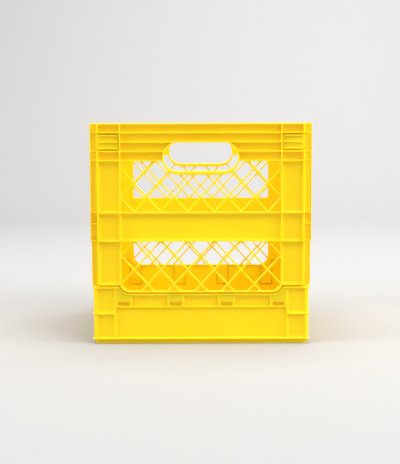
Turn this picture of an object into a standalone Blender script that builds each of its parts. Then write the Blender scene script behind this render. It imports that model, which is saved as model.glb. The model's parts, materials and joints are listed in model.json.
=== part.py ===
"""Folding dairy crate: a tray, four walls that fold in over it, and four corner latches.

Lengths are millimetres until a mesh is made. Each wall is drawn as the front wall, with its outer face
towards -Y, and is then turned about the crate's vertical centre line to its own side.
"""

from math import asin, cos, pi, radians, sin

import bmesh
import bpy
from mathutils import Matrix, Vector

MM = 0.001

# Whole crate
HALF = 166.0                    # outer face of the upright walls, from the centre line
HEIGHT = 332.0
WALL_THICKNESS = 10.7
INNER = HALF - WALL_THICKNESS   # inner face of the upright walls
SIDE_GAP = 0.4                  # between a wall's end and its neighbour
END_CELL = 2.0                  # depth of the recesses in the side walls' end faces
WALL_HALF_WIDTH = INNER - SIDE_GAP
RIB = 2.4                       # thickness of a rib seen from its edge

# Heights of the walls' horizontal ribs, at the middle of each
TOP_RIBS = (317.9, 304.0, 290.1, 276.4)
BAND_TOP = 198.7
BAND_BOTTOM = 156.2
FOOT_RIB = 90.3                 # bottom rib of the corner columns
RAIL = 79.4                     # bottom rib of the lower window
STRIP_RIB = 181.4               # extra rib on the ends of the side walls
LOWER_STEP = 1.5                # the walls stand back this far below the band

# Columns and windows, measured from the middle of a wall
COLUMN_RIB = 120.6
END_RIB = 153.4
CELL_FLOOR = 158.3              # floor of the recesses between ribs, from the centre line
BEND_IN = 106.0                 # the bottom rib curves up to the column rib from here
BEND_STEPS = 4
SEAM = 2.3                      # between a wall's bottom edge and the tray's lip

# Lattice
LATTICE_HALF_WIDTH = 20.05      # half a diamond, along the wall
LATTICE_HALF_HEIGHT = 21.8      # half a diamond, upwards
LATTICE_ORIGIN = 199.6          # height of one row of diamond centres
BAR = 2.2
LATTICE_OUT = 163.4
LATTICE_IN = 158.0
SMALLEST_HOLE = 12.0            # square millimetres: smaller corners of a window stay filled

# Hand hole
HAND_HALF_WIDTH = 55.6
HAND_LOW = 260.7
HAND_HIGH = 303.0
RING_LOW = 5.7                  # collar round the hand hole: below it, beside it and above it
RING_SIDE = 2.2
RING_TOP = 2.4
RING_COVER = 36.0               # the recesses beside the hand hole run in this far under the collar
ROUND_STEPS = 6

# Tray
TRAY_HALF = 164.0               # lips
TRAY_FACE = 162.4               # corner posts and hinge housings
TRAY_WEB = 158.6                # floor of the outer recesses
TRAY_INNER = 155.7
INNER_CORNER = 3.0
TRAY_CORNER = 6.5
TONGUE_FACE = 161.8             # thin edge that rises behind the lip to close the seam
TONGUE_GAP = 0.5
FOOT_HALF = 160.0
FOOT_INNER = 147.0
FOOT_BEVEL = 1.2
BOTTOM_LIP = 8.0
BLOCK_RIB = 45.8
BLOCK_LIP = 85.3
MID_LIP = 74.7
LEDGE = 56.7
BLOCK_EDGE = 129.6
POST = 6.0
SMALLEST_PANEL = 4.8            # a lower strip between housings is recessed only if it is taller than this
FLOOR_LOW = 10.0
FLOOR_TOP = 18.0
GRID_CELLS = 8
GRID_PITCH = 34.0
GRID_BAR = 3.0

# Hinges
HINGE_CENTRES = (-116.4, -38.2, 38.2, 116.4)
HOUSING = 26.2
POCKET = 20.4
ARM = 19.0
AXIS = 157.9                    # distance of each fold axis from the centre line
BARREL = 2.6
BARREL_GAP = 0.6                # under each barrel
HOUSING_BELOW = 5.0             # the housings reach at least this far below the fold axis
PIN = 1.6
PIN_HOLE = 1.95
PIN_REACH = 12.6
HOUSING_SKIN = 1.5
SLOT_WIDTH = 17.3
SLOT_HEIGHT = 6.0
PIN_SIDES = 10

# Latches
LATCH_TRAVEL = 5.0
LATCH_BODY = (124.0, 154.4)
LATCH_LOW = 291.6
LATCH_HIGH = 316.4
LATCH_PLATE = 163.4             # face of the plate between its grip ribs
LATCH_OUT = 165.2
LATCH_RIBS = (294.6, 304.0, 313.4)
LATCH_RIB = 2.0
LATCH_RIB_ENDS = (125.0, 152.0)
LATCH_STEM = (133.0, 139.0)
STEM_HEIGHT = 6.0
LATCH_FOOT = (130.0, 142.0)
LATCH_FOOT_HEIGHT = 13.0
LATCH_FOOT_DEPTH = 1.0
LATCH_GAP = 0.3                 # to the wall's faces
SLIDE_GAP = 0.5                 # above and below the stem and the foot
STOP_GAP = 0.6                  # past the stem and the foot at each end of the travel

# Each wall: turn about the vertical, height of its fold axis
WALLS = {
    "left_wall": (-90, 24.0),
    "right_wall": (90, 35.2),
    "back_wall": (180, 48.0),
    "front_wall": (0, 60.4),
}


def clear_scene():
    for item in list(bpy.data.objects):
        bpy.data.objects.remove(item, do_unlink=True)


def new_object(name, mesh):
    item = bpy.data.objects.new(name, mesh)
    bpy.context.scene.collection.objects.link(item)
    return item


def prism(outline, low, high, axis="Y"):
    """A closed prism: an outline pushed along one axis from low to high."""
    places = {
        "X": lambda p, t: (t, p[0], p[1]),
        "Y": lambda p, t: (p[0], t, p[1]),
        "Z": lambda p, t: (p[0], p[1], t),
    }
    place = places[axis]
    mesh = bpy.data.meshes.new("prism")
    shape = bmesh.new()
    ends = [[shape.verts.new(Vector(place(p, t)) * MM) for p in outline] for t in (low, high)]
    shape.faces.new(ends[0])
    shape.faces.new(ends[1])
    for i in range(len(outline)):
        j = (i + 1) % len(outline)
        shape.faces.new((ends[0][i], ends[0][j], ends[1][j], ends[1][i]))
    bmesh.ops.recalc_face_normals(shape, faces=shape.faces)
    shape.to_mesh(mesh)
    shape.free()
    return new_object("prism", mesh)


def ring(outer, inner, low, high):
    """A closed ring upright on Z, between two outlines with the same number of points."""
    mesh = bpy.data.meshes.new("ring")
    shape = bmesh.new()
    loops = []
    for outline, level in ((outer, low), (outer, high), (inner, high), (inner, low)):
        loops.append([shape.verts.new(Vector((x, y, level)) * MM) for x, y in outline])
    for k in range(4):
        first, second = loops[k], loops[(k + 1) % 4]
        for i in range(len(outer)):
            j = (i + 1) % len(outer)
            shape.faces.new((first[i], first[j], second[j], second[i]))
    bmesh.ops.recalc_face_normals(shape, faces=shape.faces)
    shape.to_mesh(mesh)
    shape.free()
    return new_object("ring", mesh)


def rectangle(left, right, low, high):
    return [(left, low), (right, low), (right, high), (left, high)]


def box(left, right, near, far, low, high):
    return prism(rectangle(left, right, low, high), near, far)


def arc(centre, radius, start, end, steps):
    """Points on an arc, both ends included, angles in degrees."""
    points = []
    for k in range(steps + 1):
        angle = radians(start + (end - start) * k / steps)
        points.append((centre[0] + radius * cos(angle), centre[1] + radius * sin(angle)))
    return points


def rounded_square(half, radius, steps=4):
    points = []
    for quarter in range(4):
        angle = quarter * 90
        middle = radians(angle + 45)
        reach = (half - radius) * 2 ** 0.5
        points += arc((reach * cos(middle), reach * sin(middle)), radius, angle, angle + 90, steps)
    return points


def stadium(half_width, low, high):
    radius = (high - low) / 2
    middle = (high + low) / 2
    reach = half_width - radius
    right = arc((reach, middle), radius, -90, 90, ROUND_STEPS)
    left = arc((-reach, middle), radius, 90, 270, ROUND_STEPS)
    return right + left


def rod(centre, radius, left, right):
    """A faceted round bar along X."""
    outline = arc(centre, radius, 0, 360 - 360 / PIN_SIDES, PIN_SIDES - 1)
    return prism(outline, left, right, "X")


def boolean(target, operation, tools):
    """Join tools to the target, or cut them from it, and keep only the result."""
    group = bpy.data.collections.new("tools")
    for tool in tools:
        group.objects.link(tool)
    modifier = target.modifiers.new("Boolean", "BOOLEAN")
    modifier.operation = operation
    modifier.solver = "EXACT"
    modifier.operand_type = "COLLECTION"
    modifier.collection = group
    mesh = bpy.data.meshes.new_from_object(target.evaluated_get(bpy.context.evaluated_depsgraph_get()))
    target.modifiers.remove(modifier)
    target.data = mesh
    for tool in tools:
        bpy.data.objects.remove(tool, do_unlink=True)
    bpy.data.collections.remove(group)
    return target


def clip(outline, edge_start, edge_end):
    """The part of a convex outline to the left of a line."""
    def side(p):
        return ((edge_end[0] - edge_start[0]) * (p[1] - edge_start[1])
                - (edge_end[1] - edge_start[1]) * (p[0] - edge_start[0]))
    kept = []
    for i, point in enumerate(outline):
        following = outline[(i + 1) % len(outline)]
        here, there = side(point), side(following)
        if here >= 0:
            kept.append(point)
        if here * there < 0:
            share = here / (here - there)
            kept.append(tuple(a + (b - a) * share for a, b in zip(point, following)))
    return kept


def area(outline):
    total = 0.0
    for (ax, ay), (bx, by) in zip(outline, outline[1:] + outline[:1]):
        total += ax * by - bx * ay
    return abs(total) / 2


def lattice_holes(window):
    """The diamonds between the bars, cut off at the window's edge."""
    reach = (LATTICE_HALF_WIDTH ** -2 + LATTICE_HALF_HEIGHT ** -2) ** -0.5
    scale = 1 - BAR / 2 / reach
    wide, tall = LATTICE_HALF_WIDTH * scale, LATTICE_HALF_HEIGHT * scale
    low = min(z for _, z in window)
    high = max(z for _, z in window)
    first = int((low - LATTICE_ORIGIN) // LATTICE_HALF_HEIGHT)
    last = int((high - LATTICE_ORIGIN) // LATTICE_HALF_HEIGHT) + 1
    holes = []
    for row in range(first, last + 1):
        for column in range(-7, 8):
            if (row + column) % 2:
                continue
            u, z = column * LATTICE_HALF_WIDTH, LATTICE_ORIGIN + row * LATTICE_HALF_HEIGHT
            hole = [(u - wide, z), (u, z - tall), (u + wide, z), (u, z + tall)]
            for start, end in zip(window, window[1:] + window[:1]):
                hole = clip(hole, start, end)
                if not hole:
                    break
            if hole and area(hole) > SMALLEST_HOLE:
                holes.append(prism(hole, -LATTICE_OUT - 1, -LATTICE_IN + 1))
    return holes


def bend(offset):
    """The curve beside a lower window, from the rail up to the column rib, moved outwards by an offset."""
    wide, tall = COLUMN_RIB - BEND_IN + offset, FOOT_RIB - RAIL + offset
    top = asin(max(offset, 0) / tall)
    points = []
    for k in range(BEND_STEPS + 1):
        angle = pi / 2 + (top - pi / 2) * k / BEND_STEPS
        points.append((BEND_IN + wide * cos(angle), FOOT_RIB - tall * sin(angle)))
    return points


def mirrored(points):
    """A line from the left to the right, from its right half."""
    return [(-u, z) for u, z in points[::-1]] + points


def wall_cells(latched):
    """The recesses between a wall's ribs, as left, right, low, high."""
    half = RIB / 2
    cells = []
    levels = (HEIGHT - half,) + TOP_RIBS
    for above, below in zip(levels, levels[1:]):
        if below > HAND_HIGH:
            cells.append((-COLUMN_RIB + half, COLUMN_RIB - half, below + half, above - half))
        else:
            for sign in (-1, 1):
                ends = sorted((sign * RING_COVER, sign * (COLUMN_RIB - half)))
                cells.append((ends[0], ends[1], below + half, above - half))
    cells.append((-COLUMN_RIB + half, COLUMN_RIB - half, BAND_BOTTOM + half, BAND_TOP - half))
    column_levels = (HEIGHT - half, TOP_RIBS[0], TOP_RIBS[2], TOP_RIBS[3], BAND_TOP, BAND_BOTTOM, FOOT_RIB)
    for above, below in zip(column_levels, column_levels[1:]):
        end = END_RIB - half if latched else END_RIB - 3 * half
        if latched and above == TOP_RIBS[0]:
            end = HALF
        for sign in (-1, 1):
            ends = sorted((sign * (COLUMN_RIB + half), sign * end))
            cells.append((ends[0], ends[1], below + half, above - half))
    return cells


def end_cells():
    """The shallow recesses in the end faces of a side wall."""
    half = RIB / 2
    levels = (HEIGHT - half, TOP_RIBS[0], TOP_RIBS[2], TOP_RIBS[3], BAND_TOP, STRIP_RIB, BAND_BOTTOM, FOOT_RIB)
    cuts = []
    for above, below in zip(levels, levels[1:]):
        for sign in (-1, 1):
            ends = sorted((sign * (WALL_HALF_WIDTH - END_CELL), sign * HALF))
            cuts.append(box(ends[0], ends[1], -HALF + RIB + LOWER_STEP, -INNER - half,
                            below + half, above - half))
    return cuts


def latch_guides():
    """The slot and the foot recess for a latch at each end of a wall, as long as its travel."""
    cuts = []
    middle = (LATCH_LOW + LATCH_HIGH) / 2
    foot_recess = INNER + LATCH_FOOT_DEPTH + 2 * LATCH_GAP
    for sign in (-1, 1):
        for ends, height, near in ((LATCH_STEM, STEM_HEIGHT, HALF),
                                   (LATCH_FOOT, LATCH_FOOT_HEIGHT, foot_recess)):
            left, right = sorted((sign * (ends[0] - STOP_GAP), sign * (ends[1] + LATCH_TRAVEL + STOP_GAP)))
            reach = height / 2 + SLIDE_GAP
            cuts.append(box(left, right, -near, -INNER + 1, middle - reach, middle + reach))
    return cuts


def hinge_arms(axis_height):
    """The arms below a wall, each with a barrel and two pins on the fold axis."""
    parts = []
    for centre in HINGE_CENTRES:
        left, right = centre - ARM / 2, centre + ARM / 2
        rib = mirrored(bend(0.0))
        middle = [(u, z) for u, z in rib if left < u < right]
        start = RAIL if left > -BEND_IN and left < BEND_IN else FOOT_RIB
        end = RAIL if right > -BEND_IN and right < BEND_IN else FOOT_RIB
        outline = [(left, axis_height), (right, axis_height)] + ([(left, start)] + middle + [(right, end)])[::-1]
        parts.append(prism(outline, -AXIS - BARREL + 0.1, -AXIS + BARREL))
        parts.append(rod((-AXIS, axis_height), BARREL, centre - ARM / 2, centre + ARM / 2))
        parts.append(rod((-AXIS, axis_height), PIN, centre - PIN_REACH, centre + PIN_REACH))
    return parts


def make_wall(name, turn, axis_height, colour):
    half = RIB / 2
    latched = name in ("front_wall", "back_wall")
    outline = mirrored(bend(half) + [(WALL_HALF_WIDTH, FOOT_RIB - half), (WALL_HALF_WIDTH, HEIGHT)])
    wall = prism(outline, -HALF, -INNER)
    lower = BAND_BOTTOM - half
    cuts = [box(-HALF, HALF, -HALF - 1, -HALF + LOWER_STEP, 0, lower)]
    for left, right, low, high in wall_cells(latched):
        cuts.append(box(left, right, -HALF - 2, -CELL_FLOOR, low, high))
    side = COLUMN_RIB - half
    upper_window = rectangle(-side, side, BAND_TOP + half, TOP_RIBS[3] - half)
    lower_window = mirrored(bend(-half) + [(side, lower)])
    for window in (upper_window, lower_window):
        cuts.append(prism(window, -HALF - 3, -LATTICE_OUT))
        cuts.append(prism(window, -LATTICE_IN, -INNER + 1))
        cuts += lattice_holes(window)
    cuts += latch_guides() if latched else end_cells()
    boolean(wall, "DIFFERENCE", cuts)
    collar = prism(stadium(HAND_HALF_WIDTH + RING_SIDE, HAND_LOW - RING_LOW, HAND_HIGH + RING_TOP), -HALF, -INNER)
    boolean(wall, "UNION", [collar] + hinge_arms(axis_height))
    boolean(wall, "DIFFERENCE", [prism(stadium(HAND_HALF_WIDTH, HAND_LOW, HAND_HIGH), -HALF - 4, -INNER + 4)])
    finish(wall, name, (0, -AXIS, axis_height), turn, colour)
    return wall


def make_latch(name, sign, turn, colour):
    """A sliding latch: a plate with grip ribs outside, and a stem with a foot through the wall."""
    middle = (LATCH_LOW + LATCH_HIGH) / 2
    back = CELL_FLOOR + LATCH_GAP

    def part(ends, near, far, centre, height):
        left, right = sorted((sign * ends[0], sign * ends[1]))
        return box(left, right, -near, -far, centre - height / 2, centre + height / 2)

    latch = part(LATCH_BODY, LATCH_PLATE, back, middle, LATCH_HIGH - LATCH_LOW)
    foot_face = INNER + LATCH_GAP
    parts = [
        part(LATCH_STEM, back + 1, foot_face + LATCH_FOOT_DEPTH / 2, middle, STEM_HEIGHT),
        part(LATCH_FOOT, foot_face + LATCH_FOOT_DEPTH, foot_face, middle, LATCH_FOOT_HEIGHT),
    ]
    parts += [part(LATCH_RIB_ENDS, LATCH_OUT, LATCH_PLATE - 1, rib, LATCH_RIB) for rib in LATCH_RIBS]
    boolean(latch, "UNION", parts)
    finish(latch, name, (sign * LATCH_BODY[0], -CELL_FLOOR, middle), turn, colour)
    return latch


def tray_side(turn, axis_height):
    """The cuts on one side of the tray: recesses, hinge pockets, pin holes and slots."""
    half = RIB / 2
    cuts = []
    for sign in (-1, 1):
        ends = sorted((sign * (BLOCK_EDGE + half), sign * (TRAY_FACE - POST)))
        cuts.append(box(ends[0], ends[1], -HALF, -TRAY_WEB, BOTTOM_LIP + half, BLOCK_RIB - half))
        cuts.append(box(ends[0], ends[1], -HALF, -TRAY_WEB, BLOCK_RIB + half, BLOCK_LIP - half))
    side = BLOCK_EDGE - half
    housing_low = min(LEDGE - half, axis_height - HOUSING_BELOW)
    cuts.append(box(-side, side, -HALF, -TRAY_WEB, BOTTOM_LIP + half, housing_low))
    for first, second in zip(HINGE_CENTRES, HINGE_CENTRES[1:]):
        left, right = first + HOUSING / 2, second - HOUSING / 2
        cuts.append(box(left, right, -HALF, -TRAY_WEB, LEDGE + half, MID_LIP - half))
        if LEDGE - housing_low > SMALLEST_PANEL:
            cuts.append(box(left, right, -HALF, -TRAY_WEB, housing_low - 1, LEDGE - half))
    for centre in HINGE_CENTRES:
        cuts.append(box(centre - POCKET / 2, centre + POCKET / 2, -TRAY_FACE + HOUSING_SKIN, -INNER + 2,
                        axis_height - BARREL - BARREL_GAP, HEIGHT / 2))
        cuts.append(rod((-AXIS, axis_height), PIN_HOLE, centre - HOUSING / 2 - 1, centre + HOUSING / 2 + 1))
        cuts.append(box(centre - SLOT_WIDTH / 2, centre + SLOT_WIDTH / 2, -HALF, -TRAY_FACE + HOUSING_SKIN + 1,
                        LEDGE + half, LEDGE + half + SLOT_HEIGHT))
    for offset, near, far in ((half + SEAM, HALF, TONGUE_FACE), (half + TONGUE_GAP, TONGUE_FACE + 1, INNER - 3)):
        rim = bend(offset)
        cuts.append(prism(mirrored(rim + [(rim[-1][0], HEIGHT / 2)]), -near, -far))
    for cut in cuts:
        cut.matrix_world = Matrix.Rotation(radians(turn), 4, "Z")
    return cuts


def make_tray(colour):
    half = RIB / 2
    tray = prism(rounded_square(TRAY_HALF, TRAY_CORNER), BOTTOM_LIP - half, BLOCK_LIP + half, "Z")
    foot = prism(rounded_square(FOOT_HALF, TRAY_CORNER), 0, BOTTOM_LIP, "Z")
    bevel = foot.modifiers.new("Bevel", "BEVEL")
    bevel.width = FOOT_BEVEL * MM
    bevel.segments = 2
    bevel.limit_method = "ANGLE"
    bevel.angle_limit = radians(60)
    foot_mesh = bpy.data.meshes.new_from_object(foot.evaluated_get(bpy.context.evaluated_depsgraph_get()))
    foot.modifiers.remove(bevel)
    foot.data = foot_mesh
    tongue = prism(rounded_square(TONGUE_FACE, TRAY_CORNER), FLOOR_TOP, FOOT_RIB - half - TONGUE_GAP, "Z")
    boolean(tray, "UNION", [foot, tongue])
    wide = rounded_square(HALF + 10, TRAY_CORNER)
    face = rounded_square(TRAY_FACE, TRAY_CORNER)
    cuts = [
        ring(wide, face, BOTTOM_LIP + half, BLOCK_RIB - half),
        ring(wide, face, BLOCK_RIB + half, BLOCK_LIP - half),
        prism(rounded_square(TRAY_INNER, INNER_CORNER), FLOOR_TOP, HEIGHT, "Z"),
        prism(rounded_square(FOOT_INNER, INNER_CORNER), -FLOOR_LOW, FLOOR_LOW, "Z"),
    ]
    start = -GRID_PITCH * GRID_CELLS / 2
    for i in range(GRID_CELLS):
        for j in range(GRID_CELLS):
            x, y = start + i * GRID_PITCH, start + j * GRID_PITCH
            cuts.append(prism(rectangle(x + GRID_BAR / 2, x + GRID_PITCH - GRID_BAR / 2,
                                        y + GRID_BAR / 2, y + GRID_PITCH - GRID_BAR / 2),
                              FLOOR_LOW - 2, FLOOR_TOP + 2, "Z"))
    for turn, axis_height in WALLS.values():
        cuts += tray_side(turn, axis_height)
    boolean(tray, "DIFFERENCE", cuts)
    finish(tray, "base_tray", (0, 0, 0), 0, colour)
    return tray


def finish(item, name, origin, turn, colour):
    """Name a piece, put its origin on its joint, turn it to its side and give it its plastic."""
    rotation = Matrix.Rotation(radians(turn), 4, "Z")
    start = Vector(origin) * MM
    item.data.transform(Matrix.Translation(-start))
    item.name = name
    item.data.name = name
    item.location = rotation @ start
    item.rotation_euler = (0, 0, radians(turn))
    item.data.materials.clear()
    item.data.materials.append(plastic(name, colour))


def plastic(name, colour):
    material = bpy.data.materials.new(name + "_plastic")
    material.use_nodes = True
    shader = material.node_tree.nodes["Principled BSDF"]
    shader.inputs["Base Color"].default_value = (*colour, 1)
    shader.inputs["Roughness"].default_value = 0.42
    shader.inputs["Metallic"].default_value = 0.0
    return material


def main():
    clear_scene()
    make_tray((0.96, 0.66, 0.005))
    for name, (turn, axis_height) in WALLS.items():
        make_wall(name, turn, axis_height, (1.0, 0.70, 0.005))
    for wall, turn in (("front", 0), ("back", 180)):
        for side, sign in (("left", -1), ("right", 1)):
            if wall == "back":
                sign = -sign
            make_latch(wall + "_" + side + "_latch", sign, turn, (1.0, 0.72, 0.01))


if __name__ == "__main__":
    main()
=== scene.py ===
"""Folding dairy crate: the moulded shells, their plastic and a plain studio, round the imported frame."""

import json
from math import asin, cos, pi, radians, sin

import bmesh
import bpy
from bpy.props import FloatProperty, FloatVectorProperty, PointerProperty
from mathutils import Matrix, Vector


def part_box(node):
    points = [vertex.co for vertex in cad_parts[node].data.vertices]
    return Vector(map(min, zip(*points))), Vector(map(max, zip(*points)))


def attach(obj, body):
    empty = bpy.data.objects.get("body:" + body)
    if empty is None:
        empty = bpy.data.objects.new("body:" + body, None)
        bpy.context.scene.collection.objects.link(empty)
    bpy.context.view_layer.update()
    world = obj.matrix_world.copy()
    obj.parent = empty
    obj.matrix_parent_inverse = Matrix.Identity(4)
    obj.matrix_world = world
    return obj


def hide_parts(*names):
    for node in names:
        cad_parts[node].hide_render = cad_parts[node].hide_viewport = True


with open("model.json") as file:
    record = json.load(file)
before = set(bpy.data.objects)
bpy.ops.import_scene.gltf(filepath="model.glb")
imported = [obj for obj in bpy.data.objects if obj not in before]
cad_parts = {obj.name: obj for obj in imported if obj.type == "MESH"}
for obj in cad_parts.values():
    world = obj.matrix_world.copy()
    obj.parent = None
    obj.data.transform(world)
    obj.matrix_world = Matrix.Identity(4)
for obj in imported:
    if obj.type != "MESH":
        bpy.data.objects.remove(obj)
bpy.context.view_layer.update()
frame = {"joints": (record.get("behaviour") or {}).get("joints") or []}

bl_info = {
    "name": "Folding Dairy Crate",
    "version": (1, 0, 0),
    "blender": (4, 5, 0),
    "location": "View3D > Sidebar > Crate",
    "description": "Builds a folding milk crate with lattice walls, hinge housings and corner latches",
    "category": "Add Mesh",
}

MM = 0.001
METRE = 1000.0
CATEGORY = "Crate"

# The walls, drawn as the front one and turned about the vertical to their own sides
TURNS = {"left_wall": -90, "right_wall": 90, "back_wall": 180, "front_wall": 0}
LATCHES = {
    "front_left_latch": ("front_wall", -1),
    "front_right_latch": ("front_wall", 1),
    "back_left_latch": ("back_wall", 1),
    "back_right_latch": ("back_wall", -1),
}
FOLDS = {joint["child"]: joint["pos_m"] for joint in frame["joints"] if joint["type"] == "hinge"}
AXIS = max(abs(c) for c in FOLDS["front_wall"][:2]) * METRE

FRONT_LOW, FRONT_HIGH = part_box("front_wall")
TRAY_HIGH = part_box("base_tray")[1]
LATCH_LOW_CORNER, LATCH_HIGH_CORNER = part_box("front_right_latch")

# Heights and widths of the ribs' middles, in millimetres
TOP_RIBS = (317.9, 304.0, 290.1, 276.4)
BAND_TOP, BAND_BOTTOM = 198.7, 156.2
STRIP_RIB = 181.4
FOOT_RIB, RAIL = 90.3, 79.4
BEND_IN = 106.0
COLUMN_RIB, END_RIB = 120.6, 153.4
CELL_FLOOR = 158.3
LOWER_STEP = 1.5
LATTICE_OUT, LATTICE_IN, LATTICE_ORIGIN = 163.4, 158.0, 199.6
HAND_HALF_WIDTH, HAND_LOW, HAND_HIGH = 55.6, 260.7, 303.0
RING_LOW, RING_SIDE, RING_TOP, RING_COVER = 5.7, 2.2, 2.4, 36.0
BLOCK_RIB, BLOCK_LIP, MID_LIP, LEDGE, BLOCK_EDGE, BOTTOM_LIP = 45.8, 85.3, 74.7, 56.7, 129.6, 8.0
TRAY_FACE, TRAY_WEB, TRAY_INNER, FOOT_HALF, POST = 162.4, 158.6, 155.7, 160.0, 6.0
SEAM, TONGUE_FACE, TONGUE_GAP = 2.3, 161.8, 0.5
HINGE_CENTRES = (-116.4, -38.2, 38.2, 116.4)
HOUSING, POCKET, HOUSING_SKIN, HOUSING_BELOW = 26.2, 20.4, 1.5, 5.0
SLOT_WIDTH, SLOT_HEIGHT = 17.3, 6.0
ARM, BARREL, BARREL_GAP, PIN, PIN_REACH, PIN_HOLE = 19.0, 2.6, 0.6, 1.6, 12.6, 1.95

WALL_EDGE, CELL_CORNER, COLUMN_FILLET, SIDE_FILLET, FILLET_SPREAD = 0.6, 1.4, 3.2, 2.2, 1.3
BAND_FILLET, BLOCK_FILLET = 3.0, 3.2
END_CELL, BAND_END_CELL = 2.0, 5.0
STRIP_CORNER, STRIP_EDGE, STRIP_FILLET = 0.8, 0.3, 0.6
WINDOW_CORNER, WINDOW_OUT, WINDOW_IN = 1.2, 0.3, 0.5
RING_EDGE = 1.0
GATE_WIDTH, GATE_HEIGHT, GATE_STAND = 2.4, 180.5, 0.3
MOULDED_EDGE = 0.4
SHORTEST_EDGE, SMALLEST_HOLE, HOLE_CORNER, HOLE_CORNER_SHARE = 0.8, 1.2, 1.3, 0.45

# A hinge arm's overlap with the wall, and the core behind its slot
ARM_OVERLAP, ARM_BACK = 0.4, 0.1
CORE_SIDE, CORE_DEEP, CORE_BACK, CORE_BELOW, CORE_ABOVE = 0.4, 5.0, 0.6, 3.0, 5.2

# A latch, and the clearances round it
LATCH_RIBS, LATCH_RIB, LATCH_RIB_END, LATCH_PLATE = (294.6, 304.0, 313.4), 2.0, 2.4, 3.2
LATCH_STEM, LATCH_STEM_HEIGHT = (133.0, 139.0), 6.0
LATCH_FOOT, LATCH_FOOT_HEIGHT, LATCH_FOOT_DEPTH = (130.0, 142.0), 13.0, 1.0
LATCH_TRAVEL, LATCH_STOP, LATCH_GAP, LATCH_CLEARANCE, LATCH_EDGE = 5.0, 0.6, 0.3, 0.5, 0.3

# The tray's foot, lips, panels and floor grid
FOOT_PROFILE = ((-1.2, 0.0), (-0.4, 0.3), (0.0, 1.1))
TRAY_CORNER, LIP_NOSE, LOW_LIP_BACK, MIDDLE_LIP_BACK, BEAD_BACK = 6.5, 0.7, 0.2, 0.3, 0.15
PANEL_DEEPER, BEAD_DROP, SMALLEST_STEP = 1.4, 0.05, 0.01
POCKET_CORNER, POCKET_EDGE, SLOT_CORNER, SLOT_EDGE, GRID_CORNER = 0.5, 0.3, 0.8, 0.25, 2.0
GRID_BAR, GRID_CELLS, GRID_TOP, GRID_LOW, FOOT_INNER, CAVITY_CORNER = 3.0, 8, 18.0, 10.0, 147.0, 3.0
FLOOR_FILLET = 1.5

# Cutters run on to here, clear of the tray: above it, below it and beside it
ABOVE, BELOW, BESIDE = 120.0, -10.0, 180.0

# Steps in a rounded edge, a corner, a bend and half a hand hole, and sides of a hinge pin
EDGE_STEPS = 3
CORNER_STEPS = 3
BEND_STEPS = 12
HAND_STEPS = 20
ROUND_SIDES = 24


# ---------------------------------------------------------------- sizes and colours


class CrateSizes(bpy.types.PropertyGroup):
    """Sizes of the mouldings that a user may change"""

    rib: FloatProperty(
        name="Rib", description="Thickness of the outer ribs", default=2.1 * MM, unit="LENGTH")
    bar: FloatProperty(
        name="Lattice bar", description="Width of the lattice bars", default=2.4 * MM, unit="LENGTH")
    diamond_width: FloatProperty(
        name="Diamond width", description="Pitch of the lattice along a wall", default=40.1 * MM,
        unit="LENGTH")
    diamond_height: FloatProperty(
        name="Diamond height", description="Pitch of the lattice upwards", default=43.6 * MM, unit="LENGTH")
    edge: FloatProperty(
        name="Edge radius", description="Rounding of the ribs' outer edges", default=0.4 * MM, unit="LENGTH")
    fillet: FloatProperty(
        name="Fillet", description="Rounding where ribs meet the web", default=1.0 * MM, unit="LENGTH")
    floor_pitch: FloatProperty(
        name="Floor pitch", description="Pitch of the floor grid", default=34.0 * MM, unit="LENGTH")


def srgb(code):
    """A hex colour code as linear red, green and blue."""
    def linear(value):
        return value / 12.92 if value <= 0.04045 else ((value + 0.055) / 1.055) ** 2.4
    return tuple(linear(int(code[k:k + 2], 16) / 255) for k in (1, 3, 5))


def colour(name, description, code):
    """A colour property with its default given as a hex code."""
    return FloatVectorProperty(
        name=name, description=description, subtype="COLOR", size=3, min=0.0, max=1.0, default=srgb(code))


class CrateColours(bpy.types.PropertyGroup):
    """Colours of the plastic and of the studio"""

    wall: colour("Walls", "Colour of the wall and latch mouldings", "#FAD900")
    wall_deep: colour("Walls, deep", "Where the wall colourant drifts deeper", "#F9D600")
    tray: colour("Tray", "Colour of the tray moulding", "#FAD900")
    tray_deep: colour("Tray, deep", "Where the tray colourant drifts deeper", "#F9D500")
    paper: colour("Paper", "Colour of the floor and backdrop", "#B4B3B2")
    light: colour("Light", "Colour of the studio lights", "#FFFFFF")


# ---------------------------------------------------------------- shapes


def rectangle(left, right, low, high):
    """The corners of a rectangle, anticlockwise."""
    return [(left, low), (right, low), (right, high), (left, high)]


def arc(centre, radius, start, end, steps):
    """Points on an arc, both ends included, angles in degrees."""
    points = []
    for k in range(steps + 1):
        angle = radians(start + (end - start) * k / steps)
        points.append((centre[0] + radius * cos(angle), centre[1] + radius * sin(angle)))
    return points


def rounded_square(half, radius):
    """A square outline about the middle, with rounded corners."""
    steps = 8
    points = []
    for quarter in range(4):
        angle = quarter * 90
        reach = (half - radius) * 2 ** 0.5
        middle = radians(angle + 45)
        points += arc((reach * cos(middle), reach * sin(middle)), radius, angle, angle + 90, steps)
    return points


def stadium(half_width, low, high):
    """An outline with straight sides and half-round ends."""
    radius = (high - low) / 2
    middle = (high + low) / 2
    reach = half_width - radius
    return (arc((reach, middle), radius, -90, 90, HAND_STEPS)
            + arc((-reach, middle), radius, 90, 270, HAND_STEPS))


def edge_normals(outline):
    """The outward normal of each edge of an outline that runs anticlockwise."""
    normals = []
    for (ax, ay), (bx, by) in zip(outline, outline[1:] + outline[:1]):
        normals.append(Vector((by - ay, ax - bx)).normalized())
    return normals


def inset(outline, distance):
    """A convex outline moved in by a distance, with the same corners."""
    outline = [tuple(point) for point in outline]
    normals = edge_normals(outline)
    moved = []
    for i, point in enumerate(outline):
        before, after = normals[i - 1], normals[i]
        share = distance / (1 + before.dot(after))
        moved.append(Vector(point) - (before + after) * share)
    return moved


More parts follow.
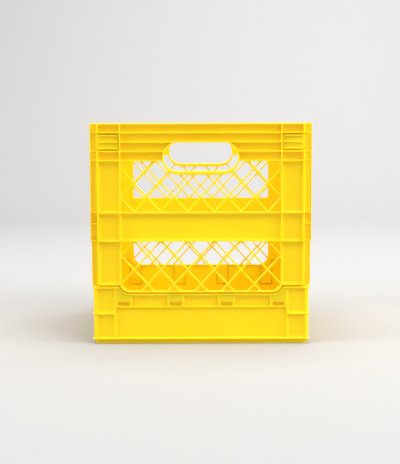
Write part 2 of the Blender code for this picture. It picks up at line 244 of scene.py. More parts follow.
def rounded(outline, corner, out):
    """A convex outline moved out by a distance, with corners of a given radius."""
    core = inset(outline, corner - out)
    normals = edge_normals([tuple(point) for point in core])
    points = []
    for i, point in enumerate(core):
        before, after = normals[i - 1], normals[i]
        steps = CORNER_STEPS if before.dot(after) < cos(radians(30)) else 0
        if not steps:
            points.append(tuple(point + (before + after) * (corner / (1 + before.dot(after)))))
            continue
        for k in range(steps + 1):
            points.append(tuple(point + before.slerp(after, k / steps) * corner))
    return points


def new_object(name, mesh):
    """An object for a mesh, in the scene."""
    item = bpy.data.objects.new(name, mesh)
    bpy.context.scene.collection.objects.link(item)
    return item


def loft(loops):
    """A closed solid through loops of the same number of points, capped at both ends."""
    mesh = bpy.data.meshes.new("solid")
    shape = bmesh.new()
    rows = [[shape.verts.new(Vector(p) * MM) for p in loop] for loop in loops]
    shape.faces.new(rows[0])
    shape.faces.new(rows[-1])
    for first, second in zip(rows, rows[1:]):
        for i in range(len(first)):
            j = (i + 1) % len(first)
            shape.faces.new((first[i], first[j], second[j], second[i]))
    bmesh.ops.recalc_face_normals(shape, faces=shape.faces)
    shape.to_mesh(mesh)
    shape.free()
    return new_object("solid", mesh)


def outwards(a, b, c):
    """A point drawn on a wall: along it, up it, and across its thickness."""
    return (a, c, b)


def right_end(a, b, c):
    """A point drawn on a wall's end face: across its thickness, up it, and along the wall."""
    return (c, a, b)


def flat_on_floor(a, b, c):
    """A point drawn on the ground: across, back, and up."""
    return (a, b, c)


def prism(outline, low, high, place=outwards, bevel=0.0):
    """A solid of one outline between two depths, with rounded edges if asked."""
    item = loft([[place(a, b, c) for a, b in outline] for c in (low, high)])
    if bevel:
        modifier = item.modifiers.new("Bevel", "BEVEL")
        modifier.width = bevel * MM
        modifier.segments = EDGE_STEPS
        modifier.limit_method = "ANGLE"
        modifier.angle_limit = radians(40)
        apply_modifiers(item)
    return item


def box(left, right, near, far, low, high, bevel=0.0):
    return prism(rectangle(left, right, low, high), near, far, bevel=bevel)


def mouth_levels(mouth, inward, edge):
    """Levels from outside a surface through its rounded edge: how far out, and at what depth."""
    levels = [(edge, mouth - inward * 2), (edge, mouth)]
    for k in range(1, EDGE_STEPS + 1):
        angle = pi / 2 * k / EDGE_STEPS
        levels.append((edge * (1 - sin(angle)), mouth + inward * edge * (1 - cos(angle))))
    return levels


def recess(outline, mouth, floor, corner, edge, fillet, place=outwards):
    """A cutter for a recess: a rounded rim, rounded corners, and a floor that curves up at its edges."""
    inward = 1 if floor > mouth else -1
    levels = mouth_levels(mouth, inward, edge)
    for k in range(EDGE_STEPS + 1):
        angle = pi / 2 * k / EDGE_STEPS
        levels.append((-FILLET_SPREAD * fillet * (1 - cos(angle)),
                       floor - inward * fillet * (1 - sin(angle))))
    return loft([[place(a, b, depth) for a, b in rounded(outline, corner, out)] for out, depth in levels])


def through(outline, mouth, exit_at, corner, edge, place=outwards):
    """A cutter for a hole whose edges are rounded on both faces."""
    inward = 1 if exit_at > mouth else -1
    levels = mouth_levels(mouth, inward, edge) + mouth_levels(exit_at, -inward, edge)[::-1]
    return loft([[place(a, b, depth) for a, b in rounded(outline, corner, out)] for out, depth in levels])


def rod(centre, radius, left, right, bevel=0.0):
    """A round bar along a wall."""
    outline = arc(centre, radius, 0, 360 - 360 / ROUND_SIDES, ROUND_SIDES - 1)
    return prism(outline, left, right, place=lambda a, b, c: (c, a, b), bevel=bevel)


def apply_modifiers(item):
    """Keep what the modifiers make as the item's own mesh."""
    evaluated = item.evaluated_get(bpy.context.evaluated_depsgraph_get())
    mesh = bpy.data.meshes.new_from_object(evaluated)
    item.modifiers.clear()
    item.data = mesh
    return item


def boolean(target, operation, tools):
    """Join tools to the target, or cut them from it, and keep only the result."""
    group = bpy.data.collections.new("tools")
    for tool in tools:
        group.objects.link(tool)
    modifier = target.modifiers.new("Boolean", "BOOLEAN")
    modifier.operation = operation
    modifier.solver = "EXACT"
    modifier.operand_type = "COLLECTION"
    modifier.collection = group
    apply_modifiers(target)
    for tool in tools:
        bpy.data.objects.remove(tool, do_unlink=True)
    bpy.data.collections.remove(group)
    if not target.data.polygons:
        raise RuntimeError("a Boolean left nothing of " + target.name)
    return target


def clip(outline, start, end):
    """The part of a convex outline to the left of a line."""
    def side(p):
        return (end[0] - start[0]) * (p[1] - start[1]) - (end[1] - start[1]) * (p[0] - start[0])
    kept = []
    for i, point in enumerate(outline):
        following = outline[(i + 1) % len(outline)]
        here, there = side(point), side(following)
        if here >= 0:
            kept.append(point)
        if here * there < 0:
            share = here / (here - there)
            kept.append(tuple(a + (b - a) * share for a, b in zip(point, following)))
    return kept


def without_short_edges(outline):
    """An outline without points closer together than the shortest edge allowed."""
    kept = []
    for point in outline:
        if not kept or (Vector(point) - Vector(kept[-1])).length > SHORTEST_EDGE:
            kept.append(point)
    if len(kept) > 1 and (Vector(kept[0]) - Vector(kept[-1])).length < SHORTEST_EDGE:
        kept.pop()
    return kept


def inner_radius(outline):
    """Roughly the largest circle that fits: twice the area over the way round."""
    area = length = 0.0
    for (ax, ay), (bx, by) in zip(outline, outline[1:] + outline[:1]):
        area += (ax * by - bx * ay) / 2
        length += ((bx - ax) ** 2 + (by - ay) ** 2) ** 0.5
    return 2 * abs(area) / length


# ---------------------------------------------------------------- walls


def lattice_holes(window, sizes):
    """The diamonds between the bars, cut off at the window's edge."""
    half_width = sizes.diamond_width * METRE / 2
    half_height = sizes.diamond_height * METRE / 2
    reach = (half_width ** -2 + half_height ** -2) ** -0.5
    scale = 1 - sizes.bar * METRE / 2 / reach
    wide, tall = half_width * scale, half_height * scale
    low = min(z for _, z in window)
    high = max(z for _, z in window)
    holes = []
    first, last = [int((level - LATTICE_ORIGIN) // half_height) for level in (low, high)]
    for row in range(first, last + 2):
        for column in range(-7, 8):
            if (row + column) % 2:
                continue
            u, z = column * half_width, LATTICE_ORIGIN + row * half_height
            hole = [(u - wide, z), (u, z - tall), (u + wide, z), (u, z + tall)]
            for start, end in zip(window, window[1:] + window[:1]):
                hole = clip(hole, start, end) if hole else hole
            hole = without_short_edges(hole)
            if len(hole) < 3 or inner_radius(hole) < SMALLEST_HOLE:
                continue
            corner = min(HOLE_CORNER, inner_radius(hole) * HOLE_CORNER_SHARE)
            holes.append(through(hole, -LATTICE_OUT, -LATTICE_IN, corner, sizes.edge * METRE))
    return holes


def bend(offset):
    """The curve beside a lower window, from the rail up to the column rib, moved outwards by an offset."""
    wide, tall = COLUMN_RIB - BEND_IN + offset, FOOT_RIB - RAIL + offset
    top = asin(max(offset, 0) / tall)
    points = []
    for k in range(BEND_STEPS + 1):
        angle = pi / 2 + (top - pi / 2) * k / BEND_STEPS
        points.append((BEND_IN + wide * cos(angle), FOOT_RIB - tall * sin(angle)))
    return points


def mirrored(points):
    """A line from the left to the right, from its right half."""
    return [(-u, z) for u, z in points[::-1]] + points


def wall_sizes():
    """Outer face, inner face, half width and height of an upright wall, from the frame."""
    outer = -FRONT_LOW.y * METRE
    inner = -FRONT_HIGH.y * METRE
    return outer, inner, FRONT_HIGH.x * METRE, FRONT_HIGH.z * METRE


def wall_blank(sizes):
    """A wall before its recesses: the upper part, and the lower part that stands back a little."""
    half = sizes.rib * METRE / 2
    outer, inner, width, height = wall_sizes()
    step = BAND_BOTTOM - half
    upper = box(-width, width, -outer, -inner, step, height, bevel=WALL_EDGE)
    outline = mirrored(bend(half) + [(width, FOOT_RIB - half), (width, step + 4)])
    lower = prism(outline, -outer + LOWER_STEP, -inner, bevel=WALL_EDGE)
    return boolean(upper, "UNION", [lower])


def wall_recesses(sizes, latched):
    """The recesses between a wall's ribs."""
    half = sizes.rib * METRE / 2
    edge, fillet = sizes.edge * METRE, sizes.fillet * METRE
    outer, inner, width, height = wall_sizes()
    cuts = []

    def cell(left, right, low, high, soft=fillet):
        face = -outer if low > BAND_BOTTOM else -outer + LOWER_STEP
        cuts.append(recess(rectangle(left, right, low, high), face, -CELL_FLOOR, CELL_CORNER, edge, soft))

    middle = COLUMN_RIB - half
    levels = [height - half] + list(TOP_RIBS)
    for above, below in zip(levels, levels[1:]):
        if below > HAND_HIGH:
            cell(-middle, middle, below + half, above - half)
        else:
            cell(-middle, -RING_COVER, below + half, above - half)
            cell(RING_COVER, middle, below + half, above - half)
    cell(-middle, middle, BAND_BOTTOM + half, BAND_TOP - half, BAND_FILLET)
    column = (height - half, TOP_RIBS[0], TOP_RIBS[2], TOP_RIBS[3], BAND_TOP, BAND_BOTTOM, FOOT_RIB)
    for above, below in zip(column, column[1:]):
        end = END_RIB - half if latched else END_RIB - 3 * half - END_CELL
        if latched and above == TOP_RIBS[0]:
            end = outer
        soft = COLUMN_FILLET if above - below > 30 else fillet
        for sign in (-1, 1):
            left, right = sorted((sign * (COLUMN_RIB + half), sign * end))
            cell(left, right, below + half, above - half, soft)
    return cuts


def strip_recesses(sizes):
    """The recesses in the end faces of a side wall, deeper beside the band."""
    half = sizes.rib * METRE / 2
    outer, inner, width, height = wall_sizes()
    levels = (height - half, TOP_RIBS[0], TOP_RIBS[2], TOP_RIBS[3], BAND_TOP, STRIP_RIB, BAND_BOTTOM,
              FOOT_RIB)
    cuts = []
    for above, below in zip(levels, levels[1:]):
        face = outer if below >= BAND_BOTTOM else outer - LOWER_STEP
        outline = rectangle(-face + half, -inner - half / 2, below + half, above - half)
        depth = BAND_END_CELL if BAND_BOTTOM <= below < BAND_TOP else END_CELL
        for sign in (-1, 1):
            cuts.append(recess(outline, sign * width, sign * (width - depth), STRIP_CORNER, STRIP_EDGE,
                               STRIP_FILLET, place=right_end))
    return cuts


def latch_cuts():
    """The slot and the foot recess for a latch at each end of a wall, as long as its travel."""
    inner = wall_sizes()[1]
    middle = (LATCH_LOW_CORNER.z + LATCH_HIGH_CORNER.z) / 2 * METRE
    foot_face = inner + LATCH_FOOT_DEPTH + 2 * LATCH_GAP
    cuts = []
    for sign in (-1, 1):
        for ends, height, near in ((LATCH_STEM, LATCH_STEM_HEIGHT, CELL_FLOOR + 1),
                                   (LATCH_FOOT, LATCH_FOOT_HEIGHT, foot_face)):
            reach = (ends[0] - LATCH_STOP, ends[1] + LATCH_TRAVEL + LATCH_STOP)
            left, right = sorted(sign * end for end in reach)
            tall = height / 2 + LATCH_CLEARANCE
            cuts.append(box(left, right, -near, -inner + 1, middle - tall, middle + tall))
    return cuts


def wall_shell(sizes, latched):
    """One wall without its hinge arms."""
    half = sizes.rib * METRE / 2
    outer, inner, width, height = wall_sizes()
    wall = wall_blank(sizes)
    cuts = wall_recesses(sizes, latched)
    side = COLUMN_RIB - half
    lower = BAND_BOTTOM - half
    upper_window = rectangle(-side, side, BAND_TOP + half, TOP_RIBS[3] - half)
    lower_window = mirrored(bend(-half) + [(side, lower)])
    for window, face in ((upper_window, outer), (lower_window, outer - LOWER_STEP)):
        cuts.append(recess(window, -face, -LATTICE_OUT, WINDOW_CORNER, sizes.edge * METRE, WINDOW_OUT))
        cuts.append(recess(window, -inner, -LATTICE_IN, WINDOW_CORNER, sizes.edge * METRE, WINDOW_IN))
        cuts += lattice_holes(window, sizes)
    cuts += latch_cuts() if latched else strip_recesses(sizes)
    boolean(wall, "DIFFERENCE", cuts)
    ring = stadium(HAND_HALF_WIDTH + RING_SIDE, HAND_LOW - RING_LOW, HAND_HIGH + RING_TOP)
    gate = [(a, GATE_HEIGHT + b * 2) for a, b in arc((0, 0), GATE_WIDTH / 2, 0, 345, ROUND_SIDES - 1)]
    mark = prism(gate, -inner - 1, -inner + GATE_STAND)
    boolean(wall, "UNION", [prism(ring, -outer, -inner, bevel=RING_EDGE), mark])
    hole = stadium(HAND_HALF_WIDTH, HAND_LOW, HAND_HIGH)
    boolean(wall, "DIFFERENCE", [hand_hole(hole, -outer, -inner, RING_EDGE)])
    return wall


def hand_hole(outline, mouth, exit_at, edge):
    """A cutter for the hand hole, whose edges are well rounded for the fingers."""
    levels = mouth_levels(mouth, 1, edge) + mouth_levels(exit_at, -1, edge)[::-1]
    normals = edge_normals(outline)
    loops = []
    for out, depth in levels:
        loop = []
        for i, point in enumerate(outline):
            direction = (normals[i - 1] + normals[i]).normalized()
            loop.append(outwards(*(Vector(point) + direction * out), depth))
        loops.append(loop)
    return loft(loops)


def hinge_arms(axis_height):
    """The arms below a wall, cored out behind the tray's slots, with barrels and pins on the fold axis."""
    parts, cores = [], []
    for centre in HINGE_CENTRES:
        left, right = centre - ARM / 2, centre + ARM / 2
        middle = [(u, z + ARM_OVERLAP) for u, z in mirrored(bend(0.0)) if left < u < right]
        start, end = (RAIL if abs(u) < BEND_IN else FOOT_RIB for u in (left, right))
        outline = [(left, axis_height), (right, axis_height)]
        outline += ([(left, start + ARM_OVERLAP)] + middle + [(right, end + ARM_OVERLAP)])[::-1]
        parts.append(prism(outline, -AXIS - BARREL + ARM_BACK, -AXIS + BARREL))
        parts.append(rod((-AXIS, axis_height), BARREL, left, right, bevel=0.4))
        parts.append(rod((-AXIS, axis_height), PIN, centre - PIN_REACH, centre + PIN_REACH, bevel=0.3))
        reach = SLOT_WIDTH / 2 - CORE_SIDE
        slot = LEDGE + SLOT_HEIGHT / 2
        cores.append(box(centre - reach, centre + reach, -AXIS - CORE_DEEP, -AXIS + CORE_BACK,
                         slot - CORE_BELOW, slot + CORE_ABOVE))
    return parts, cores


# ---------------------------------------------------------------- tray


def tray_blank(sizes):
    """The tray before its recesses: a foot, lips and rounded corner posts, turned out of squares."""
    half = sizes.rib * METRE / 2
    lip = TRAY_HIGH.x * METRE
    top = BLOCK_LIP + half
    profile = [(FOOT_HALF + out, level) for out, level in FOOT_PROFILE]
    profile.append((FOOT_HALF, BOTTOM_LIP - half))
    nose, cut = LIP_NOSE, LIP_NOSE * 0.3
    for low, high, out in ((BOTTOM_LIP - half, BOTTOM_LIP + half, lip - LOW_LIP_BACK),
                           (BLOCK_RIB - half, BLOCK_RIB + half, lip - MIDDLE_LIP_BACK),
                           (top - 2 * half, top, lip)):
        start = FOOT_HALF if low < BOTTOM_LIP else TRAY_FACE
        profile += [(start, low), (out - nose, low), (out - cut, low + cut), (out, low + nose),
                    (out, high - nose), (out - cut, high - cut), (out - nose, high)]
        if high < top:
            profile.append((TRAY_FACE, high))
    profile += [(TONGUE_FACE, top), (TONGUE_FACE, FOOT_RIB - half - TONGUE_GAP)]
    loops = []
    for reach, level in profile:
        loop = [(x, y, level) for x, y in rounded_square(reach, TRAY_CORNER)]
        if not loops or (Vector(loop[0]) - Vector(loops[-1][0])).length > SMALLEST_STEP:
            loops.append(loop)
    return loft(loops)


def tray_side(turn, axis_height, sizes):
    """The cuts on one side of the tray: recesses, hinge pockets, pin holes and slots."""
    half = sizes.rib * METRE / 2
    edge, fillet = sizes.edge * METRE, sizes.fillet * METRE
    cuts = []

    def cell(left, right, low, high, soft=fillet, web=TRAY_WEB):
        cuts.append(recess(rectangle(left, right, low, high), -TRAY_FACE, -web, CELL_CORNER, edge, soft))

    for sign in (-1, 1):
        left, right = sorted((sign * (BLOCK_EDGE + half), sign * (TRAY_FACE - POST)))
        cell(left, right, BOTTOM_LIP + half, BLOCK_RIB - half, BLOCK_FILLET)
        cell(left, right, BLOCK_RIB + half, BLOCK_LIP - half, BLOCK_FILLET)
    side = BLOCK_EDGE - half
    housing_low = min(LEDGE - half, axis_height - HOUSING_BELOW)
    cell(-side, side, BOTTOM_LIP + half, housing_low, SIDE_FILLET)
    for first, second in zip(HINGE_CENTRES, HINGE_CENTRES[1:]):
        left, right = first + HOUSING / 2, second - HOUSING / 2
        cell(left, right, LEDGE + half, MID_LIP - half, web=TRAY_WEB - PANEL_DEEPER)
        if LEDGE - housing_low > 5:
            cell(left, right, housing_low + 2 * half, LEDGE - half)
    for centre in HINGE_CENTRES:
        pocket = rectangle(
            centre - POCKET / 2, centre + POCKET / 2, axis_height - BARREL - BARREL_GAP, ABOVE)
        cuts.append(recess(pocket, -TRAY_INNER, -TRAY_FACE + HOUSING_SKIN, POCKET_CORNER, POCKET_EDGE,
                           POCKET_EDGE))
        cuts.append(rod((-AXIS, axis_height), PIN_HOLE, centre - HOUSING / 2 - 1, centre + HOUSING / 2 + 1))
        slot = rectangle(
            centre - SLOT_WIDTH / 2, centre + SLOT_WIDTH / 2, LEDGE + half, LEDGE + half + SLOT_HEIGHT)
        cuts.append(through(slot, -TRAY_FACE, -TRAY_FACE + HOUSING_SKIN, SLOT_CORNER, SLOT_EDGE))
    return [turned(cut, turn) for cut in cuts]


def rim_cuts(turn, sizes):
    """What is cut off above the rim: down to the lip outside, and not so far down to the tongue inside."""
    half = sizes.rib * METRE / 2
    cuts = []
    for offset, near, far in ((half + SEAM, BESIDE, TONGUE_FACE),
                              (half + TONGUE_GAP, TONGUE_FACE + 1, TRAY_INNER - 3)):
        rim = bend(offset)
        cuts.append(turned(prism(mirrored(rim + [(rim[-1][0], ABOVE)]), -near, -far), turn))
    return cuts


def turned(item, turn):
    """An item turned about the vertical, from the front of the crate to another side."""
    item.matrix_world = Matrix.Rotation(radians(turn), 4, "Z")
    return item


def rim_bead(turn, sizes):
    """The lip that follows the rim down from the corner blocks and along the middle."""
    thick = sizes.rib * METRE
    upper, under = bend(thick / 2 + SEAM + BEAD_DROP), bend(thick / 2 + SEAM + thick)
    far = BLOCK_EDGE + 4
    outline = mirrored(upper + [(far, upper[-1][1])])[::-1] + mirrored(under + [(far, under[-1][1])])
    bead = prism(outline, -TRAY_HIGH.x * METRE + BEAD_BACK, -TRAY_WEB, bevel=WALL_EDGE)
    return turned(bead, turn)


def tray_shell(sizes):
    """The tray: blank, rim, lips, then the floor grid and what is cut into each side."""
    tray = tray_blank(sizes)
    cuts = [cavity(TRAY_INNER, GRID_TOP, ABOVE), cavity(FOOT_INNER, GRID_LOW, BELOW)]
    for turn in TURNS.values():
        cuts += rim_cuts(turn, sizes)
    boolean(tray, "DIFFERENCE", cuts)
    boolean(tray, "UNION", [rim_bead(turn, sizes) for turn in TURNS.values()])
    pitch = sizes.floor_pitch * METRE
    start = -pitch * GRID_CELLS / 2
    near, far = GRID_BAR / 2, pitch - GRID_BAR / 2
    cuts = []
    for i in range(GRID_CELLS):
        for j in range(GRID_CELLS):
            x, y = start + i * pitch, start + j * pitch
            outline = rectangle(x + near, x + far, y + near, y + far)
            cuts.append(through(outline, GRID_LOW, GRID_TOP, GRID_CORNER, MOULDED_EDGE, place=flat_on_floor))
    for name, turn in TURNS.items():
        cuts += tray_side(turn, FOLDS[name][2] * METRE, sizes)
    return boolean(tray, "DIFFERENCE", cuts)


def cavity(half, floor, far):
    """A cutter for the space inside the tray, with a filleted edge round its floor."""
    up = 1 if far > floor else -1
    loops = []
    for k in range(EDGE_STEPS + 1):
        angle = pi / 2 * k / EDGE_STEPS
        reach = half - FLOOR_FILLET * (1 - sin(angle))
        level = floor + up * FLOOR_FILLET * (1 - cos(angle))
        loops.append([(x, y, level) for x, y in rounded_square(reach, CAVITY_CORNER)])
    loops.append([(x, y, far) for x, y in rounded_square(half, CAVITY_CORNER)])
    return loft(loops)


# ---------------------------------------------------------------- latches


def latch_shell(sizes, sign):
    """A sliding latch: a plate with grip ribs outside, and a stem with a snap-in foot behind."""
    inner = wall_sizes()[1]
    low, high = LATCH_LOW_CORNER.z * METRE, LATCH_HIGH_CORNER.z * METRE
    body_in = COLUMN_RIB + sizes.rib * METRE / 2 + LATCH_CLEARANCE
    body_out = LATCH_HIGH_CORNER.x * METRE
    front = -LATCH_LOW_CORNER.y * METRE
    middle = (low + high) / 2
    back, foot_face = CELL_FLOOR + LATCH_GAP, inner + LATCH_GAP

    def part(ends, near, far, centre, tall, bevel):
        left, right = sorted(sign * end for end in ends)
        return box(left, right, -near, -far, centre - tall / 2, centre + tall / 2, bevel=bevel)

    latch = part((body_in, body_out), front - LATCH_PLATE, back, middle, high - low, WALL_EDGE)
    parts = [part(LATCH_STEM, back + 1, foot_face + LATCH_FOOT_DEPTH / 2, middle, LATCH_STEM_HEIGHT,
                  LATCH_EDGE),
             part(LATCH_FOOT, foot_face + LATCH_FOOT_DEPTH, foot_face, middle, LATCH_FOOT_HEIGHT,
                  LATCH_EDGE)]
    for centre in LATCH_RIBS:
        parts.append(part((body_in + 1, body_out - LATCH_RIB_END), front, front - LATCH_PLATE - 1, centre,
                          LATCH_RIB, WALL_EDGE))
    return boolean(latch, "UNION", parts)


# ---------------------------------------------------------------- plastic


def add(tree, kind, settings=None, inputs=None, links=None):
    """One node with its settings, its fixed inputs and the sockets linked to them."""
    node = tree.nodes.new(kind)
    for key, value in (settings or {}).items():
        setattr(node, key, value)
    for key, value in (inputs or {}).items():
        node.inputs[key].default_value = value
    for key, socket in (links or {}).items():
        tree.links.new(socket, node.inputs[key])
    return node


def moulded_polypropylene(name, light, deep):
    """Injection-moulded polypropylene: a waxy, slightly translucent satin, with the fine spark-eroded grain
    of its mould, faint flow streaks, and soft scuffs that dull it here and there."""
    material = bpy.data.materials.new(name)
    material.use_nodes = True
    tree = material.node_tree
    shader = tree.nodes["Principled BSDF"]
    place = add(tree, "ShaderNodeTexCoord").outputs["Object"]
    # Flow streaks and colourant drift, some 60 mm long, across a few percent of the colour
    drift = add(tree, "ShaderNodeTexNoise", inputs={"Scale": 1 / 0.06, "Detail": 3.0},
                links={"Vector": place})
    spread = add(tree, "ShaderNodeMapRange",
                 inputs={"From Min": 0.3, "From Max": 0.7, "To Min": 0.0, "To Max": 1.0},
                 links={"Value": drift.outputs["Fac"]})
    tone = add(tree, "ShaderNodeMix", {"data_type": "RGBA"},
               {"A": (*deep, 1), "B": (*light, 1)}, {"Factor": spread.outputs["Result"]})
    tree.links.new(tone.outputs["Result"], shader.inputs["Base Color"])
    # Scuffed patches, 15 mm across, a little duller than the rest
    scuff = add(tree, "ShaderNodeTexNoise", inputs={"Scale": 1 / 0.015, "Detail": 5.0, "Roughness": 0.6},
                links={"Vector": place})
    satin = add(tree, "ShaderNodeMapRange",
                inputs={"From Min": 0.35, "From Max": 0.75, "To Min": 0.34, "To Max": 0.5},
                links={"Value": scuff.outputs["Fac"]})
    tree.links.new(satin.outputs["Result"], shader.inputs["Roughness"])
    # Mould grain, 0.8 mm apart, drawn coarser than the real 0.2 mm so that it shows
    grain = add(tree, "ShaderNodeTexNoise", inputs={"Scale": 1 / 0.0008, "Detail": 2.0},
                links={"Vector": place})
    bump = add(tree, "ShaderNodeBump", inputs={"Strength": 0.12, "Distance": 0.00015},
               links={"Height": grain.outputs["Fac"]})
    tree.links.new(bump.outputs["Normal"], shader.inputs["Normal"])
    shader.inputs["IOR"].default_value = 1.49
    shader.inputs["Metallic"].default_value = 0.0
    # Thin walls let some light through, red the farthest, so shaded faces glow
    shader.inputs["Subsurface Weight"].default_value = 0.45
    shader.inputs["Subsurface Radius"].default_value = (1.0, 0.85, 0.1)
    shader.inputs["Subsurface Scale"].default_value = 0.009
    shader.inputs["Specular IOR Level"].default_value = 0.3
    return material


def matt_paper(name, pale):
    """Seamless studio paper: matt, with faint unevenness."""
    material = bpy.data.materials.new(name)
    material.use_nodes = True
    tree = material.node_tree
    shader = tree.nodes["Principled BSDF"]
    place = add(tree, "ShaderNodeTexCoord").outputs["Object"]
    # Paper fibre clumps, 3 mm across
    fibre = add(tree, "ShaderNodeTexNoise", inputs={"Scale": 1 / 0.003, "Detail": 3.0},
                links={"Vector": place})
    tone = add(tree, "ShaderNodeMix", {"data_type": "RGBA"},
               {"A": (*[c * 0.985 for c in pale], 1), "B": (*pale, 1)},
               {"Factor": fibre.outputs["Fac"]})
    tree.links.new(tone.outputs["Result"], shader.inputs["Base Color"])
    shader.inputs["Roughness"].default_value = 0.85
    shader.inputs["Specular IOR Level"].default_value = 0.2
    return material


# ---------------------------------------------------------------- pieces


def finish_piece(item, name, node, body, material):
    """Name a piece, shade its rounded edges smooth, give it its plastic and hang it on its body."""
    item.name = name
    item.data.name = name
    item.data.materials.clear()
    item.data.materials.append(material)
    item.data.shade_smooth()
    item.data.set_sharp_from_angle(angle=radians(38))
    modifier = item.modifiers.new("Weighted Normal", "WEIGHTED_NORMAL")
    modifier.keep_sharp = True
    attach(item, body)
    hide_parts(node)
    return item


def copy_of(item):
    """A second item with its own mesh."""
    twin = item.copy()
    twin.data = item.data.copy()
    bpy.context.scene.collection.objects.link(twin)
    return twin


class CRATE_OT_tray(bpy.types.Operator):
    """Build the base tray with its grid floor, corner blocks and hinge housings"""

    bl_idname = "crate.tray"
    bl_label = "Base Tray"

    def execute(self, context):
        tray = tray_shell(context.scene.crate_sizes)
        colours = context.scene.crate_colours
        plastic = moulded_polypropylene("moulded_polypropylene_tray", colours.tray, colours.tray_deep)
        finish_piece(tray, "tray_shell", "base_tray", "tray", plastic)
        return {"FINISHED"}


class CRATE_OT_walls(bpy.types.Operator):
    """Build the four folding walls with their ribs, lattice windows, hand holes and hinge arms"""

    bl_idname = "crate.walls"
    bl_label = "Folding Walls"

    def execute(self, context):
        sizes = context.scene.crate_sizes
        colours = context.scene.crate_colours
        plastic = moulded_polypropylene("moulded_polypropylene_wall", colours.wall, colours.wall_deep)
        for names in (("front_wall", "back_wall"), ("left_wall", "right_wall")):
            pattern = wall_shell(sizes, latched=names[0] == "front_wall")
            for name in names:
                wall = copy_of(pattern)
                arms, cores = hinge_arms(FOLDS[name][2] * METRE)
                boolean(wall, "UNION", arms)
                boolean(wall, "DIFFERENCE", cores)
                wall.data.transform(Matrix.Rotation(radians(TURNS[name]), 4, "Z"))
                finish_piece(wall, name + "_shell", name, name, plastic)
            bpy.data.objects.remove(pattern, do_unlink=True)
        return {"FINISHED"}


class CRATE_OT_latches(bpy.types.Operator):
    """Build the four sliding corner latches"""

    bl_idname = "crate.latches"
    bl_label = "Corner Latches"

    def execute(self, context):
        colours = context.scene.crate_colours
        plastic = moulded_polypropylene("moulded_polypropylene_latch", colours.wall, colours.wall_deep)
        for name, (wall, sign) in LATCHES.items():
            latch = latch_shell(context.scene.crate_sizes, sign)
            latch.data.transform(Matrix.Rotation(radians(TURNS[wall]), 4, "Z"))
            finish_piece(latch, name + "_shell", name, name, plastic)
        return {"FINISHED"}


def area_light(name, place, target, size, power, tint):
    """A soft rectangular light aimed at a target."""
    data = bpy.data.lights.new(name, "AREA")
    data.shape = "RECTANGLE"
    data.size, data.size_y = size
    data.energy = power
    data.color = tint
    item = bpy.data.objects.new(name, data)
    item.location = place
    item.rotation_euler = (Vector(target) - Vector(place)).to_track_quat("-Z", "Y").to_euler()
    bpy.context.scene.collection.objects.link(item)
    return item


# Strength of the even light from all round
SURROUND = 0.52
# Each light: name, place, what it points at, size, and power in watts
LIGHTS = (
    ("overhead_softbox", (0.0, 0.0, 2.4), (0, 0, 0.1), (1.6, 1.6), 37),
    ("key_softbox", (1.3, -1.8, 2.1), (0, 0, 0.15), (1.2, 1.2), 28),
    ("left_fill", (-2.2, -0.9, 1.5), (0, 0, 0.1), (1.4, 1.4), 37),
    ("right_fill", (2.2, -0.6, 1.3), (0, 0, 0.1), (1.4, 1.4), 39),
    ("backdrop_wash", (0.8, 1.2, 2.6), (0.3, 3.2, 1.0), (2.4, 1.0), 74),
)


class CRATE_OT_stage(bpy.types.Operator):
    """Set the crate on a plain pale sweep, with soft studio light and the camera"""

    bl_idname = "crate.stage"
    bl_label = "Studio"

    def execute(self, context):
        scene = context.scene
        colours = scene.crate_colours
        sweep = studio_sweep()
        sweep.data.materials.append(matt_paper("matt_studio_paper", colours.paper))
        world = bpy.data.worlds.new("soft_surround")
        world.use_nodes = True
        background = world.node_tree.nodes["Background"]
        background.inputs["Color"].default_value = (*colours.light, 1)
        background.inputs["Strength"].default_value = SURROUND
        scene.world = world
        for name, place, target, size, power in LIGHTS:
            area_light(name, place, target, size, power, colours.light)
        scene.view_settings.view_transform = "Standard"
        # Light bounces many times between walls this bright
        scene.cycles.max_bounces = 14
        scene.cycles.diffuse_bounces = 10
        add_camera(scene)
        return {"FINISHED"}


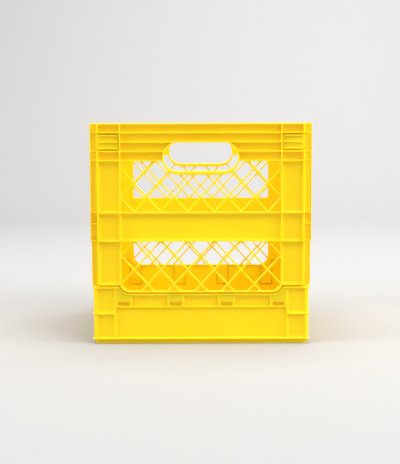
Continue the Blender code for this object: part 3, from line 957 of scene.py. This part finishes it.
def studio_sweep():
    """Floor and wall as one sheet of paper with a wide bend behind the crate."""
    half_width, front, back, top, bend = 9.0, -9.0, 3.2, 4.0, 1.2
    profile = [(front, 0.0)] + arc((back - bend, bend), bend, -90, 0, 24) + [(back, top)]
    mesh = bpy.data.meshes.new("studio_sweep")
    shape = bmesh.new()
    rows = [[shape.verts.new((x, y, z)) for y, z in profile] for x in (-half_width, half_width)]
    for i in range(len(profile) - 1):
        shape.faces.new((rows[0][i], rows[1][i], rows[1][i + 1], rows[0][i + 1]))
    for face in shape.faces:
        face.smooth = True
    shape.to_mesh(mesh)
    shape.free()
    return new_object("studio_sweep", mesh)


def add_camera(scene):
    """A long lens, level with the crate's rim and tipped down a little."""
    distance, tilt, lens, aside, roll = 1.684, 5.5, 87.9, -0.001, 0.15
    data = bpy.data.cameras.new("camera")
    data.lens = lens
    data.sensor_width = 36.0
    data.dof.use_dof = False
    camera = bpy.data.objects.new("camera", data)
    camera.location = (aside, FRONT_LOW.y - distance, FRONT_HIGH.z)
    camera.rotation_euler = (radians(90 - tilt), radians(roll), 0)
    scene.collection.objects.link(camera)
    scene.camera = camera


class CRATE_PT_panel(bpy.types.Panel):
    """Lists the crate's sizes, colours and build steps"""

    bl_label = "Folding Dairy Crate"
    bl_idname = "CRATE_PT_panel"
    bl_space_type = "VIEW_3D"
    bl_region_type = "UI"
    bl_category = CATEGORY

    def draw(self, context):
        layout = self.layout
        for group in (context.scene.crate_sizes, context.scene.crate_colours):
            for key in group.__annotations__:
                layout.prop(group, key)
        for operator in OPERATORS:
            layout.operator(operator.bl_idname)


OPERATORS = (CRATE_OT_tray, CRATE_OT_walls, CRATE_OT_latches, CRATE_OT_stage)
CLASSES = (CrateSizes, CrateColours) + OPERATORS + (CRATE_PT_panel,)


def register():
    for item in CLASSES:
        bpy.utils.register_class(item)
    bpy.types.Scene.crate_sizes = PointerProperty(type=CrateSizes)
    bpy.types.Scene.crate_colours = PointerProperty(type=CrateColours)


def unregister():
    del bpy.types.Scene.crate_sizes
    del bpy.types.Scene.crate_colours
    for item in reversed(CLASSES):
        bpy.utils.unregister_class(item)


def main():
    register()
    bpy.ops.crate.tray()
    bpy.ops.crate.walls()
    bpy.ops.crate.latches()
    bpy.ops.crate.stage()
    bpy.context.view_layer.update()


if __name__ == "__main__":
    main()
